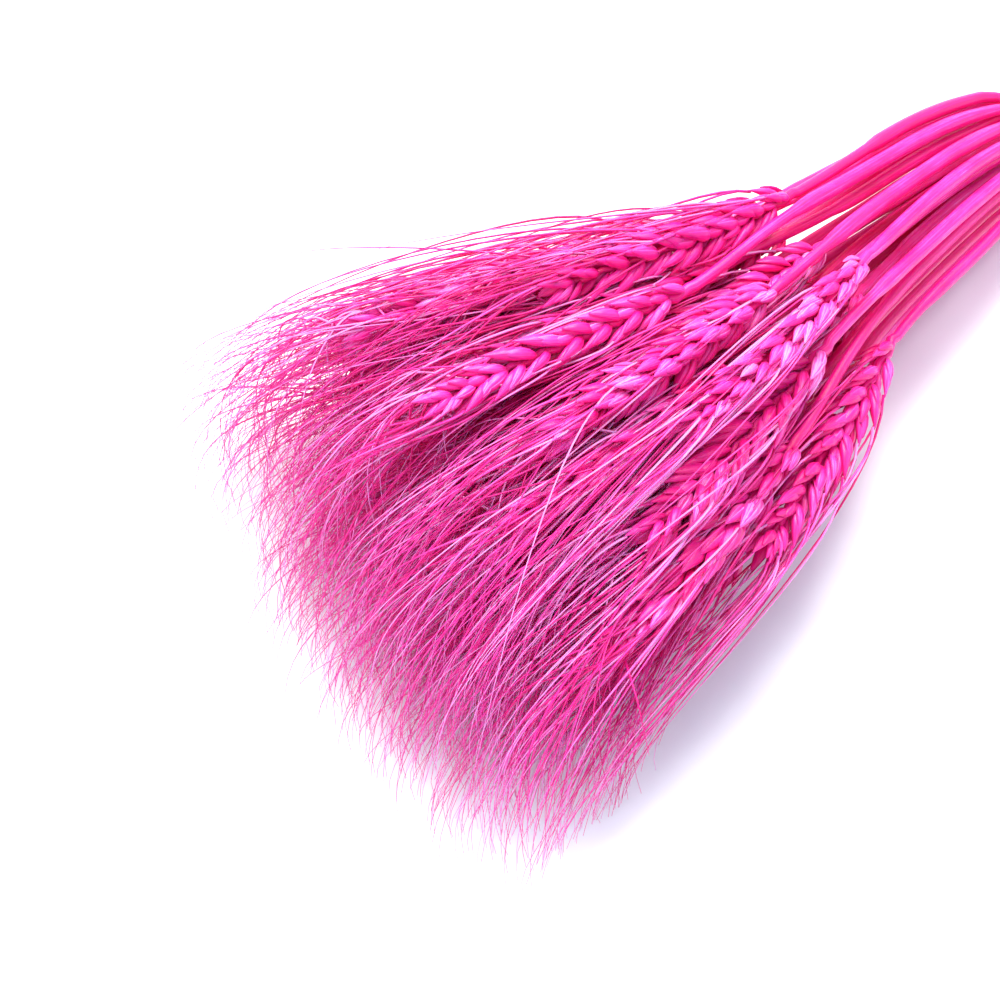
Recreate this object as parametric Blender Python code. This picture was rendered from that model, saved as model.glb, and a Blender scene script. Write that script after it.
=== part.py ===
"""A sheaf of dyed bearded wheat: stalks with their ears and awns, tied once with string and laid on its side.

The stalks stand in a hexagonal packing at the tie. Every stalk keeps its place in that packing while the packing
widens into a fan, so no stalk crosses another. s is the distance from the tie, positive towards the ears.
Lengths are in metres. The ears point along -X, the cut ends along +X, and Z is up.
"""

import math
import random

import bmesh
import bpy
from mathutils import Matrix, Vector

MM = 0.001

# Stalks and their packing at the tie
STEM_RADIUS = 1.3 * MM
STEM_SIDES = 6
PITCH = 3.0 * MM
PACKING_RINGS = 3
PLACE_JITTER = 0.045
SEED = 194
CUT_END = -172 * MM
CUT_SCATTER = 7 * MM
STEM_BENDS = (-10 * MM, 10 * MM, 50 * MM)
SHEATH_RADIUS = 1.9 * MM
BEND_RADII = (STEM_RADIUS, STEM_RADIUS, SHEATH_RADIUS)

# The sheaf through its outermost stalks, in millimetres at each s: half its width, its lowest and highest stalk,
# how far the packing is turned in degrees, and how far the fan leans to one side
SECTIONS = (-180, -10, 10, 50, 85, 110, 147, 200, 225, 262)
HALF_WIDTH = (10.6, 9.0, 9.1, 16.5, 22.5, 29.0, 42.0, 64.0, 71.0, 75.0)
LOWEST = (2.6, 4.35, 4.35, 4.8, 5.1, 5.1, 5.1, 5.1, 5.1, 5.1)
HIGHEST = (19.8, 19.95, 19.95, 34.0, 43.5, 50.5, 55.5, 58.5, 58.5, 50.0)
TWIST = (-40.0, -13.0, -11.0, -6.0, -3.0, -1.5, -0.5, 0.0, 0.0, 0.0)
SWEEP = (0.0, 0.0, 0.0, 1.5, 1.0, 0.0, 0.0, 7.5, 11.5, 14.0)

# Ears: three lengths of stalk, so that neighbours in the packing are staggered
EAR_STARTS = (103 * MM, 126 * MM, 147 * MM)
START_JITTER = 2.0 * MM
LEVELS = 6
LEVEL_PITCH = 11.0 * MM
ROW_STAGGER = 5.5 * MM
FIRST_LEVEL = 2.0 * MM
RACHIS_RADIUS = 1.3 * MM
RACHIS_TIP_RADIUS = 0.8 * MM
TERMINAL_LENGTH = 12.0 * MM
TERMINAL_BELLY = 5.5 * MM
TERMINAL_RADIUS = 1.9 * MM

# A spikelet's belly, from its root on the rachis: along the ear, out from its axis, and half its width across
BELLY = {"outer": (6.0 * MM, 3.6 * MM, 1.8 * MM), "inner": (8.8 * MM, 2.1 * MM, 3.4 * MM)}
SMALLEST_SPIKELET = 0.8
NECK_ALONG = 13.3 * MM
NECK_RADIUS = 4.9 * MM
NECK_ANGLES = (38, -31, 21, -16, 10, -5)
NECK_HALF = 0.34 * MM

# Awns: where one passes the ear's top, and how far it reaches
GATHER_ALONG = 84.0 * MM
GATHER_RADIUS = 5.2 * MM
GATHER_ANGLES = (70, -60, 44, -33, 20, -8)
AWN_HALF = 0.32 * MM
AWN_CORNERS = {("outer", 1): (0.6, 1), ("outer", -1): (0.6, -1), ("inner", 1): (-1.1, 0), ("inner", -1): (-1.1, 0)}
AWN_LENGTH = 112.0 * MM
AWN_SCATTER = 14.0 * MM
FAN_RADIUS = 262.0 * MM
FAN_ROUNDING = 24.0 * MM
CELL_SHARE = 0.40

# The tie: a string wound side by side round the stems, with a knot and two cut ends
STRING_RADIUS = 1.0 * MM
STRING_TURNS = 5
TIE_RADIUS = 10.9 * MM
TIE_SIDES = 24
TURN_RISE = 1.8 * MM
GROOVE_RISE = 1.0 * MM
TIE_FLAT = 0.27 * MM
KNOT_TURN = 62
KNOT_RADIUS = 2.4 * MM
TAIL_LENGTH = 17.0 * MM
TAIL_RINGS = 4
TAIL_SIDES = 6

DYED_STRAW = (0.86, 0.03, 0.33, 1.0)
JUTE = (0.42, 0.29, 0.16, 1.0)

ROW_HEIGHT = math.sqrt(3) / 2
LATTICE_HALF_WIDTH = PACKING_RINGS * PITCH
LATTICE_HALF_HEIGHT = PACKING_RINGS * PITCH * ROW_HEIGHT
RING_LEAN = ROW_STAGGER / 2 / math.cos(math.pi / STEM_SIDES)


def clear_scene():
    for obj in list(bpy.data.objects):
        bpy.data.objects.remove(obj)


def material(name, color, roughness):
    made = bpy.data.materials.new(name)
    made.use_nodes = True
    shader = made.node_tree.nodes["Principled BSDF"]
    shader.inputs["Base Color"].default_value = color
    shader.inputs["Roughness"].default_value = roughness
    shader.inputs["Metallic"].default_value = 0.0
    return made


def mesh_object(name, bm, look):
    """Turns a closed bmesh into an object of its own."""
    bmesh.ops.recalc_face_normals(bm, faces=bm.faces)
    bmesh.ops.triangulate(bm, faces=bm.faces)
    if bm.calc_volume(signed=True) < 0:
        bmesh.ops.reverse_faces(bm, faces=bm.faces)
    mesh = bpy.data.meshes.new(name)
    bm.to_mesh(mesh)
    bm.free()
    mesh.materials.append(look)
    obj = bpy.data.objects.new(name, mesh)
    bpy.context.scene.collection.objects.link(obj)
    return obj


# The fan


def at_section(values, s):
    """The smooth curve through the values given at the sections, at s."""
    at = min(max(s / MM, SECTIONS[0]), SECTIONS[-1])
    last = len(SECTIONS) - 1
    i = max(j for j in range(last) if SECTIONS[j] <= at)
    before = max(i - 1, 0)
    after = min(i + 2, last)
    width = SECTIONS[i + 1] - SECTIONS[i]
    slope0 = (values[i + 1] - values[before]) / (SECTIONS[i + 1] - SECTIONS[before])
    slope1 = (values[after] - values[i]) / (SECTIONS[after] - SECTIONS[i])
    t = (at - SECTIONS[i]) / width
    held = (2 * t**3 - 3 * t**2 + 1) * values[i] + (3 * t**2 - 2 * t**3) * values[i + 1]
    eased = (t**3 - 2 * t**2 + t) * width * slope0 + (t**3 - t**2) * width * slope1
    return held + eased


def in_fan(place, s):
    """Where a place of the packing lies at the distance s from the tie."""
    turn = math.radians(at_section(TWIST, s))
    across = place[0] * math.cos(turn) - place[1] * math.sin(turn)
    up = place[0] * math.sin(turn) + place[1] * math.cos(turn)
    half_width = at_section(HALF_WIDTH, s) * MM
    low = at_section(LOWEST, s) * MM
    high = at_section(HIGHEST, s) * MM
    y = at_section(SWEEP, s) * MM + across * half_width / LATTICE_HALF_WIDTH
    z = (low + high) / 2 + up * (high - low) / (2 * LATTICE_HALF_HEIGHT)
    return Vector((-s, y, z))


def packing():
    """Each place of the hexagonal packing, with its row and its number in the row, bottom row first."""
    for row in range(-PACKING_RINGS, PACKING_RINGS + 1):
        count = 2 * PACKING_RINGS + 1 - abs(row)
        for n in range(count):
            yield row, n, Vector(((n - (count - 1) / 2) * PITCH, row * PITCH * ROW_HEIGHT))


def stagger_class(row, n):
    """Which of the three ear starts a place takes, so that no two neighbours share one."""
    return (n - min(row, 0) + row * 2) % 3


# Drawing a closed body out, face by face


def extend(bm, face, corners):
    """Extrudes a face and puts its corners where asked. Returns the new end face and the side faces, in order."""
    old = list(face.verts)
    end = bmesh.ops.extrude_discrete_faces(bm, faces=[face])["faces"][0]
    new = list(end.verts)
    for vert, corner in zip(new, corners):
        vert.co = corner
    sides = []
    for i in range(len(old)):
        j = (i + 1) % len(old)
        sides.append(bm.faces.get((old[i], old[j], new[j], new[i])))
    return end, sides


def narrow(bm, face, corners):
    """Draws a face out to a smaller one. Corners that are given the same place become one."""
    old = list(face.verts)
    bm.faces.remove(face)
    placed = {}
    for corner in corners:
        key = corner.to_tuple(8)
        if key not in placed:
            placed[key] = bm.verts.new(key)
    new = [placed[corner.to_tuple(8)] for corner in corners]
    for i in range(len(old)):
        j = (i + 1) % len(old)
        rim = [old[i], old[j], new[j]]
        if new[i] is not new[j]:
            rim.append(new[i])
        bm.faces.new(rim)
    return bm.faces.new(list(placed.values()))


def close_to_point(bm, face, tip):
    """Draws a face out to a single point."""
    made = bmesh.ops.poke(bm, faces=[face])
    made["verts"][0].co = tip


def ring_round(centre, along, out, radius, sides, lean=0.0):
    """Corners round a centre. Lean moves each one along the stalk by its place out to the two rows."""
    across = along.cross(out).normalized()
    points = []
    for i in range(sides):
        turn = 2 * math.pi * (i + 0.5) / sides
        spoke = out * math.cos(turn) + across * math.sin(turn)
        points.append(centre + spoke * radius + along * lean * math.cos(turn))
    return points


def square_to(direction, along):
    """The part of a direction that is square to another, at unit length."""
    return (direction - along * direction.dot(along)).normalized()


# One stalk


class Ear:
    """The frame of one ear: along its gently bent axis, out to a row of spikelets, and across."""

    def __init__(self, base, middle, tip, roll):
        self.base = base
        self.bend = middle - (base + tip) / 2
        self.along = (tip - base).normalized()
        level = square_to(Vector((0, 1, 0)), self.along)
        upright = self.along.cross(level)
        self.out = level * math.cos(roll) + upright * math.sin(roll)
        self.across = self.along.cross(self.out)

    def at(self, along, out, across):
        share = min(along / GATHER_ALONG, 1.0)
        bent = self.bend * 4 * share * (1 - share)
        return self.base + bent + self.along * along + self.out * out + self.across * across

    def ring(self, along, radius, lean=0.0):
        return ring_round(self.at(along, 0, 0), self.along, self.out, radius, STEM_SIDES, lean)


def root_of(side, level):
    """How far up the ear a spikelet is rooted."""
    return FIRST_LEVEL + level * LEVEL_PITCH + (ROW_STAGGER if side > 0 else 0)


def spikelet_size(along):
    """Spikelets are smaller at the foot and at the top of the ear."""
    middle = LEVELS * LEVEL_PITCH / 2
    return 1 - (1 - SMALLEST_SPIKELET) * ((along - middle) / middle) ** 2


def corners_in_order(face, ear, side):
    """Names a root face's corners: outer for the pair nearer the ear's foot, inner for the pair nearer its top."""
    names = {}
    upwards = sorted(face.verts, key=lambda vert: vert.co.dot(ear.along))
    for kind, pair in (("outer", upwards[:2]), ("inner", upwards[2:])):
        left, right = sorted(pair, key=lambda vert: vert.co.dot(ear.across) * side)
        names[left] = (kind, -1)
        names[right] = (kind, 1)
    return [names[vert] for vert in face.verts]


def belly_corner(ear, side, level, corner):
    along, out, half = BELLY[corner[0]]
    root = root_of(side, level)
    size = spikelet_size(root)
    return ear.at(root + along, side * out * size, side * corner[1] * half * size)


def awn_corner(ear, side, point, half, corner):
    """One corner of the awn's three-sided section, round a point given along the ear, out from it, and turned."""
    along, radius, turn = point
    out = radius * math.cos(turn) + AWN_CORNERS[corner][0] * half
    across = radius * math.sin(turn) + AWN_CORNERS[corner][1] * half
    return ear.at(along, side * out, side * across)


def fold_flanks(flanks, order, root_corners, belly_corners):
    """Folds a spikelet's two flanks from the foot of its root to the widest part of its belly."""
    for i, flank in enumerate(flanks):
        j = (i + 1) % len(flanks)
        if order[i][0] == "outer" and order[j][0] == "inner":
            bmesh.utils.face_split(flank, root_corners[i], belly_corners[j])
        elif order[i][0] == "inner" and order[j][0] == "outer":
            bmesh.utils.face_split(flank, root_corners[j], belly_corners[i])


def draw_spikelet(bm, face, ear, side, level, route):
    """Draws one spikelet out of a side face of the rachis, and its awn out of the spikelet's tip."""
    points, tip = route
    order = corners_in_order(face, ear, side)
    root_corners = list(face.verts)
    end, flanks = extend(bm, face, [belly_corner(ear, side, level, corner) for corner in order])
    fold_flanks(flanks, order, root_corners, list(end.verts))
    end = narrow(bm, end, [awn_corner(ear, side, points[0], NECK_HALF, corner) for corner in order])
    first_inner = next(corner for corner in order if corner[0] == "inner")
    order = [corner for corner in order if corner[0] == "outer" or corner == first_inner]
    for point in points[1:]:
        end = narrow(bm, end, [awn_corner(ear, side, point, AWN_HALF, corner) for corner in order])
    close_to_point(bm, end, tip)


def awn_tip(place, ear, side, level, draw):
    """An awn's tip. It keeps its bearing from its own stalk, inside the stalk's own cell of the fan."""
    turn = math.radians(GATHER_ANGLES[level])
    neck_s = -ear.at(root_of(side, level) + NECK_ALONG, 0, 0).x
    reach = neck_s + AWN_LENGTH + draw.uniform(-1, 1) * AWN_SCATTER
    edge = FAN_RADIUS - FAN_ROUNDING * (place[0] / LATTICE_HALF_WIDTH) ** 2
    tip_s = min(reach, edge + draw.uniform(-0.5, 0.3) * AWN_SCATTER)
    bearing = ear.out * side * math.cos(turn) + ear.across * side * math.sin(turn)
    centre = in_fan(place, tip_s)
    step_y = in_fan(place + Vector((PITCH, 0)), tip_s) - centre
    step_z = in_fan(place + Vector((0, PITCH)), tip_s) - centre
    in_cell = Vector((bearing.y / step_y.y, bearing.z / step_z.z)).normalized()
    in_cell *= CELL_SHARE * draw.uniform(0.55, 1.0)
    return centre + step_y * in_cell[0] + step_z * in_cell[1]


def awn_route(place, ear, side, level, draw):
    """Where an awn leaves its spikelet, passes the spikelets above and the ear's top, and ends."""
    neck = root_of(side, level) + NECK_ALONG
    points = [(neck, NECK_RADIUS, math.radians(NECK_ANGLES[level]))]
    if level < LEVELS - 2:
        halfway = math.radians((NECK_ANGLES[level] + GATHER_ANGLES[level]) / 2)
        points.append(((neck + GATHER_ALONG) / 2, GATHER_RADIUS, halfway))
    if level < LEVELS - 1:
        points.append((GATHER_ALONG, GATHER_RADIUS, math.radians(GATHER_ANGLES[level])))
    return points, awn_tip(place, ear, side, level, draw)


def draw_stem(bm, place, cut, ear):
    """Draws the straw from its cut end to the ear's foot, wrapped in its leaf sheath. Returns its end face."""
    knots = [in_fan(place, s) for s in (cut, *STEM_BENDS)] + [ear.base]
    along = (knots[1] - knots[0]).normalized()
    corners = ring_round(knots[0], along, square_to(ear.out, along), STEM_RADIUS, STEM_SIDES)
    end = bm.faces.new([bm.verts.new(corner) for corner in corners])
    cut_rim = list(end.verts)
    for before, bend, after, radius in zip(knots, knots[1:], knots[2:], BEND_RADII):
        along = ((bend - before).normalized() + (after - bend).normalized()).normalized()
        corners = ring_round(bend, along, square_to(ear.out, along), radius, STEM_SIDES)
        end, _ = extend(bm, end, corners)
    bm.faces.new(cut_rim)
    end, _ = extend(bm, end, ear.ring(FIRST_LEVEL + ROW_STAGGER / 2, RACHIS_RADIUS, RING_LEAN))
    return end


def draw_rachis(bm, end, ear):
    """Draws the rachis up to the terminal spikelet. Returns the faces that the spikelets are rooted on."""
    roots = []
    for level in range(LEVELS):
        share = (level + 1) / LEVELS
        radius = RACHIS_RADIUS + (RACHIS_TIP_RADIUS - RACHIS_RADIUS) * share
        along = FIRST_LEVEL + ROW_STAGGER / 2 + (level + 1) * LEVEL_PITCH
        end, sides = extend(bm, end, ear.ring(along, radius, RING_LEAN))
        for side in (1, -1):
            facing = max(sides, key=lambda face: (face.calc_center_median() - ear.base).dot(ear.out) * side)
            roots.append((facing, side, level))
    end, _ = extend(bm, end, ear.ring(along + TERMINAL_BELLY, TERMINAL_RADIUS))
    close_to_point(bm, end, ear.at(along + TERMINAL_LENGTH, 0, 0))
    return roots


def stalk(name, row, n, place, draw, straw):
    """One stalk as one body: the straw, the rachis, its spikelets and their awns."""
    place = place + Vector((draw.uniform(-1, 1), draw.uniform(-1, 1))) * PLACE_JITTER * PITCH
    start = EAR_STARTS[stagger_class(row, n)] + draw.uniform(-1, 1) * START_JITTER
    cut = CUT_END + draw.uniform(-1, 1) * CUT_SCATTER
    roll = 0.0 if row == -PACKING_RINGS else draw.uniform(0, math.pi)
    base, middle, top = (in_fan(place, start + share * GATHER_ALONG) for share in (0, 0.5, 1))
    ear = Ear(base, middle, top, roll)
    bm = bmesh.new()
    end = draw_stem(bm, place, cut, ear)
    for face, side, level in draw_rachis(bm, end, ear):
        draw_spikelet(bm, face, ear, side, level, awn_route(place, ear, side, level, draw))
    return mesh_object(name, bm, straw)


# The tie


def tie_profile():
    """The turns of string in section, side by side: (along the stems, rise above them)."""
    width = 2 * STRING_RADIUS
    edge = STRING_TURNS * STRING_RADIUS
    profile = [(-edge, 0.0)]
    for turn in range(STRING_TURNS):
        start = turn * width - edge
        profile.append((start + 0.2 * width, TURN_RISE))
        profile.append((start + 0.8 * width, TURN_RISE))
        if turn < STRING_TURNS - 1:
            profile.append((start + width, GROOVE_RISE))
    profile.append((edge, 0.0))
    return profile


def tie_band(centre):
    """The turns of string round the stems, pressed flat where they lie on the surface."""
    bm = bmesh.new()
    floor = centre.z - TIE_RADIUS - TURN_RISE + TIE_FLAT
    rings = []
    for i in range(TIE_SIDES):
        turn = 2 * math.pi * (i + 0.5) / TIE_SIDES
        ring = []
        for along, rise in tie_profile():
            radius = (TIE_RADIUS + rise) / math.cos(math.pi / TIE_SIDES)
            point = centre + Vector((along, math.cos(turn) * radius, math.sin(turn) * radius))
            point.z = max(point.z, floor)
            ring.append(bm.verts.new(point))
        rings.append(ring)
    for ring, following in zip(rings, rings[1:] + rings[:1]):
        for j in range(len(ring)):
            k = (j + 1) % len(ring)
            bm.faces.new((ring[j], ring[k], following[k], following[j]))
    return bm


def knot(centre):
    bm = bmesh.new()
    bmesh.ops.create_icosphere(bm, subdivisions=2, radius=KNOT_RADIUS)
    bmesh.ops.scale(bm, vec=(1.3, 1.0, 0.85), verts=bm.verts)
    bmesh.ops.translate(bm, vec=centre, verts=bm.verts)
    return bm


def tail(root, bearing, droop):
    """One cut end of the string, leaving the knot and drooping over the stems."""
    bm = bmesh.new()
    end = None
    for i in range(TAIL_RINGS):
        share = i / (TAIL_RINGS - 1)
        point = root + bearing * TAIL_LENGTH * share + droop * share**2
        along = (bearing * TAIL_LENGTH + droop * 2 * share).normalized()
        corners = ring_round(point, along, square_to(droop, along), STRING_RADIUS, TAIL_SIDES)
        if end is None:
            end = bm.faces.new([bm.verts.new(corner) for corner in corners])
            rim = list(end.verts)
        else:
            end, _ = extend(bm, end, corners)
    bm.faces.new(rim)
    return bm


def join_into(obj, others):
    """Joins the objects of a collection into one object's mesh, as one closed body."""
    union = obj.modifiers.new("union", "BOOLEAN")
    union.operation = "UNION"
    union.operand_type = "COLLECTION"
    union.collection = others
    union.solver = "MANIFOLD"
    evaluated = obj.evaluated_get(bpy.context.evaluated_depsgraph_get())
    joined = bpy.data.meshes.new_from_object(evaluated)
    obj.modifiers.clear()
    obj.data = joined
    for other in list(others.objects):
        bpy.data.objects.remove(other)
    bpy.data.collections.remove(others)


def tie(look):
    """The string: its turns round the stems, the knot, and two cut ends, joined into one body."""
    bottom = in_fan(Vector((0, -LATTICE_HALF_HEIGHT)), 0)
    top = in_fan(Vector((0, LATTICE_HALF_HEIGHT)), 0)
    centre = (bottom + top) / 2
    turn = math.radians(KNOT_TURN)
    outward = Vector((0, math.cos(turn), math.sin(turn)))
    onward = Vector((0, -math.sin(turn), math.cos(turn)))
    knot_at = centre + outward * (TIE_RADIUS + 2.2 * STRING_RADIUS)
    band = mesh_object("tie", tie_band(centre), look)
    knotted = bpy.data.collections.new("knotted")
    pieces = [knot(knot_at)]
    for side in (1, -1):
        bearing = (onward * -0.5 + Vector((side, 0, 0)) * 0.8 + outward * 0.45).normalized()
        pieces.append(tail(knot_at, bearing, onward * -4 * MM - outward * 2 * MM))
    for piece in pieces:
        knotted.objects.link(mesh_object("piece", piece, look))
    join_into(band, knotted)
    return band


def settle(objects):
    """Moves the whole sheaf so that its box stands centred over the origin, with its lowest point at zero."""
    points = [vert.co for obj in objects for vert in obj.data.vertices]
    low = [min(point[axis] for point in points) for axis in range(3)]
    high = [max(point[axis] for point in points) for axis in range(3)]
    shift = Vector((-(low[0] + high[0]) / 2, -(low[1] + high[1]) / 2, -low[2]))
    for obj in objects:
        obj.data.transform(Matrix.Translation(shift))


def main():
    clear_scene()
    straw = material("dyed_straw", DYED_STRAW, 0.55)
    jute = material("jute", JUTE, 0.9)
    draw = random.Random(SEED)
    made = []
    for i, (row, n, place) in enumerate(packing(), 1):
        made.append(stalk(f"stalk_{i:02d}", row, n, place, draw, straw))
    made.append(tie(jute))
    settle(made)


main()
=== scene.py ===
# %% [markdown]
# # A sheaf of dyed wheat
#
# The real object is a bunch of bearded wheat, cut, dried, dyed magenta and tied. Thirty-seven straws run through
# the tie, spread into a flat fan, and each carries one ear: a zigzag rachis with sixteen spikelets on it and one
# more at its top. A long stiff hair, the awn, grows from the tip of every fertile bract. The fan of awns is what
# the eye sees first, so most of this lesson is about where those hairs go.
#
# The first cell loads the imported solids. Everything is in metres, in their frame, and nothing of them is moved.

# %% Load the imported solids
import math
import random

import bmesh
import bpy
from mathutils import Matrix, Vector


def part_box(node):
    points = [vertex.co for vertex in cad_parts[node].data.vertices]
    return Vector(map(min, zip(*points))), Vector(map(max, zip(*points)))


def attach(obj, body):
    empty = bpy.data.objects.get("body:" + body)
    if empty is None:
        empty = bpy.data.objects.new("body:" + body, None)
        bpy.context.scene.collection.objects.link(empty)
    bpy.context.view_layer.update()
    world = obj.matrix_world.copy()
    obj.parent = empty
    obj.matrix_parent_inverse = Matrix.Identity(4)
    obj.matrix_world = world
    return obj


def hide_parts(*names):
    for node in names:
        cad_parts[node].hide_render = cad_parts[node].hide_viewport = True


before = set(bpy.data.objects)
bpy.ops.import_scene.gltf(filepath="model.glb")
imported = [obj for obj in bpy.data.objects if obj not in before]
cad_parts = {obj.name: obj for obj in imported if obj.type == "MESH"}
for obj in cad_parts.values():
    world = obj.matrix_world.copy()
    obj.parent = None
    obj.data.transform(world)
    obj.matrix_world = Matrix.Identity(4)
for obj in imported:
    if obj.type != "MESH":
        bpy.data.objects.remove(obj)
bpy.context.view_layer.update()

MM = 0.001

# %% [markdown]
# ## The fan
#
# A sheaf could be laid by hand, straw by straw. A rule is shorter, and it keeps the straws from passing through
# each other. The straws stand in a hexagonal packing where they are tied, and the packing is stretched and turned
# as it goes along the sheaf. A table of sections says how wide, how high and how turned the packing is, and a
# smooth curve joins the sections. The distance from the tie towards the ears is called s.

# %% The sections of the fan, in millimetres and degrees
SECTIONS = (-180, -10, 10, 50, 85, 110, 147, 200, 225, 262)
HALF_WIDTH = (10.6, 9.0, 9.1, 16.5, 22.5, 29.0, 42.0, 64.0, 71.0, 75.0)
LOWEST = (2.6, 4.35, 4.35, 4.8, 5.1, 5.1, 5.1, 5.1, 5.1, 5.1)
HIGHEST = (19.8, 19.95, 19.95, 34.0, 43.5, 50.5, 55.5, 58.5, 58.5, 50.0)
TWIST = (-40.0, -13.0, -11.0, -6.0, -3.0, -1.5, -0.5, 0.0, 0.0, 0.0)
SWEEP = (0.0, 0.0, 0.0, 1.5, 1.0, 0.0, 0.0, 7.5, 11.5, 14.0)
TIE_PLACE = Vector((43.247, -14.335, 0.570)) * MM
PITCH = 3.0 * MM
RINGS = 3
ROW_HEIGHT = math.sqrt(3) / 2
HALF_ACROSS = RINGS * PITCH
HALF_UP = RINGS * PITCH * ROW_HEIGHT


def at_section(values, s):
    """The smooth curve through the values given at the sections, at s."""
    at = min(max(s / MM, SECTIONS[0]), SECTIONS[-1])
    last = len(SECTIONS) - 1
    i = max(j for j in range(last) if SECTIONS[j] <= at)
    before, after = max(i - 1, 0), min(i + 2, last)
    width = SECTIONS[i + 1] - SECTIONS[i]
    slope0 = (values[i + 1] - values[before]) / (SECTIONS[i + 1] - SECTIONS[before])
    slope1 = (values[after] - values[i]) / (SECTIONS[after] - SECTIONS[i])
    t = (at - SECTIONS[i]) / width
    held = (2 * t**3 - 3 * t**2 + 1) * values[i] + (3 * t**2 - 2 * t**3) * values[i + 1]
    eased = (t**3 - 2 * t**2 + t) * width * slope0 + (t**3 - t**2) * width * slope1
    return held + eased


def in_fan(place, s):
    """Where a place of the packing lies at the distance s from the tie."""
    turn = math.radians(at_section(TWIST, s))
    across = place[0] * math.cos(turn) - place[1] * math.sin(turn)
    up = place[0] * math.sin(turn) + place[1] * math.cos(turn)
    low, high = at_section(LOWEST, s) * MM, at_section(HIGHEST, s) * MM
    y = at_section(SWEEP, s) * MM + across * at_section(HALF_WIDTH, s) * MM / HALF_ACROSS
    z = (low + high) / 2 + up * (high - low) / (2 * HALF_UP)
    return TIE_PLACE + Vector((-s, y, z))


def packing():
    """Each place of the packing, with its row and its number in the row, bottom row first."""
    for row in range(-RINGS, RINGS + 1):
        count = 2 * RINGS + 1 - abs(row)
        for n in range(count):
            yield row, n, Vector(((n - (count - 1) / 2) * PITCH, row * PITCH * ROW_HEIGHT))


print("places in the packing:", len(list(packing())))

# %% [markdown]
# ## The stalks' plan
#
# Each stalk is one grown thing, so it becomes one piece. Before any mesh is made, a plan says where the stalk is
# cut, where its ear starts, how the ear is rolled about its own axis, and how it is bent. The random numbers are
# drawn from one seeded source in a fixed order, so that each stalk lands on the solid that it stands for. The
# solids draw some more for their own spikelets, and the plan skips those to stay in step.

# %% Plan the stalks
EAR_STARTS = (103 * MM, 126 * MM, 147 * MM)
START_JITTER = 2 * MM
CUT_END = -172 * MM
CUT_SCATTER = 7 * MM
PLACE_JITTER = 0.045
SPIKELET_DRAWS = 36
EAR_LENGTH = 84 * MM
SEED = 194


def square_to(direction, along):
    """The part of a direction that is square to another, at unit length."""
    return (direction - along * direction.dot(along)).normalized()


class Stalk:
    """Where one stalk lies: its place in the packing, its cut end, and the frame of its ear."""

    def __init__(self, row, n, place, draw):
        self.place = place + Vector((draw.uniform(-1, 1), draw.uniform(-1, 1))) * PLACE_JITTER * PITCH
        self.row = row
        self.start = EAR_STARTS[(n - min(row, 0) + row * 2) % 3] + draw.uniform(-1, 1) * START_JITTER
        self.cut = CUT_END + draw.uniform(-1, 1) * CUT_SCATTER
        on_surface = row == -RINGS
        roll = 0.0 if on_surface else draw.uniform(0, math.pi)
        for _ in range(SPIKELET_DRAWS):
            draw.random()
        self.base, middle, top = (in_fan(self.place, self.start + share * EAR_LENGTH) for share in (0, 0.5, 1))
        self.bend = middle - (self.base + top) / 2
        self.along = (top - self.base).normalized()
        level = square_to(Vector((0, 1, 0)), self.along)
        upright = self.along.cross(level)
        self.out = level * math.cos(roll) + upright * math.sin(roll)
        self.across = self.along.cross(self.out)

    def at(self, along, out, across):
        """A point of the ear: so far up its bent axis, out to a row of spikelets, and across."""
        share = min(along / EAR_LENGTH, 1.0)
        bent = self.bend * 4 * share * (1 - share)
        return self.base + bent + self.along * along + self.out * out + self.across * across


draw = random.Random(SEED)
stalks = [Stalk(row, n, place, draw) for row, n, place in packing()]
for i, stalk in enumerate(stalks, 1):
    low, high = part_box(f"stalk_{i:02d}")
    if not low.x - MM < stalk.base.x < high.x + MM or not low.y - MM < stalk.base.y < high.y + MM:
        print("a stalk is off its solid:", i)
print("stalks planned:", len(stalks))

# %% [markdown]
# ## A way to write Geometry Nodes trees
#
# The straws, the bracts and the awns each repeat by the hundred and follow paths, which is what Geometry Nodes
# are for. A tree built in a script is a list of nodes and links. The helper below adds one node at a time: a value
# that is another node's output is linked, and a plain value is set. Inputs have names and sizes, so that a tree
# reads as a recipe.

# %% A helper for node trees
def plug(tree, socket, value):
    """Links another node's output to a socket, or sets a plain value on it."""
    if isinstance(value, bpy.types.NodeSocket):
        tree.links.new(value, socket)
    else:
        socket.default_value = value


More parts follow.
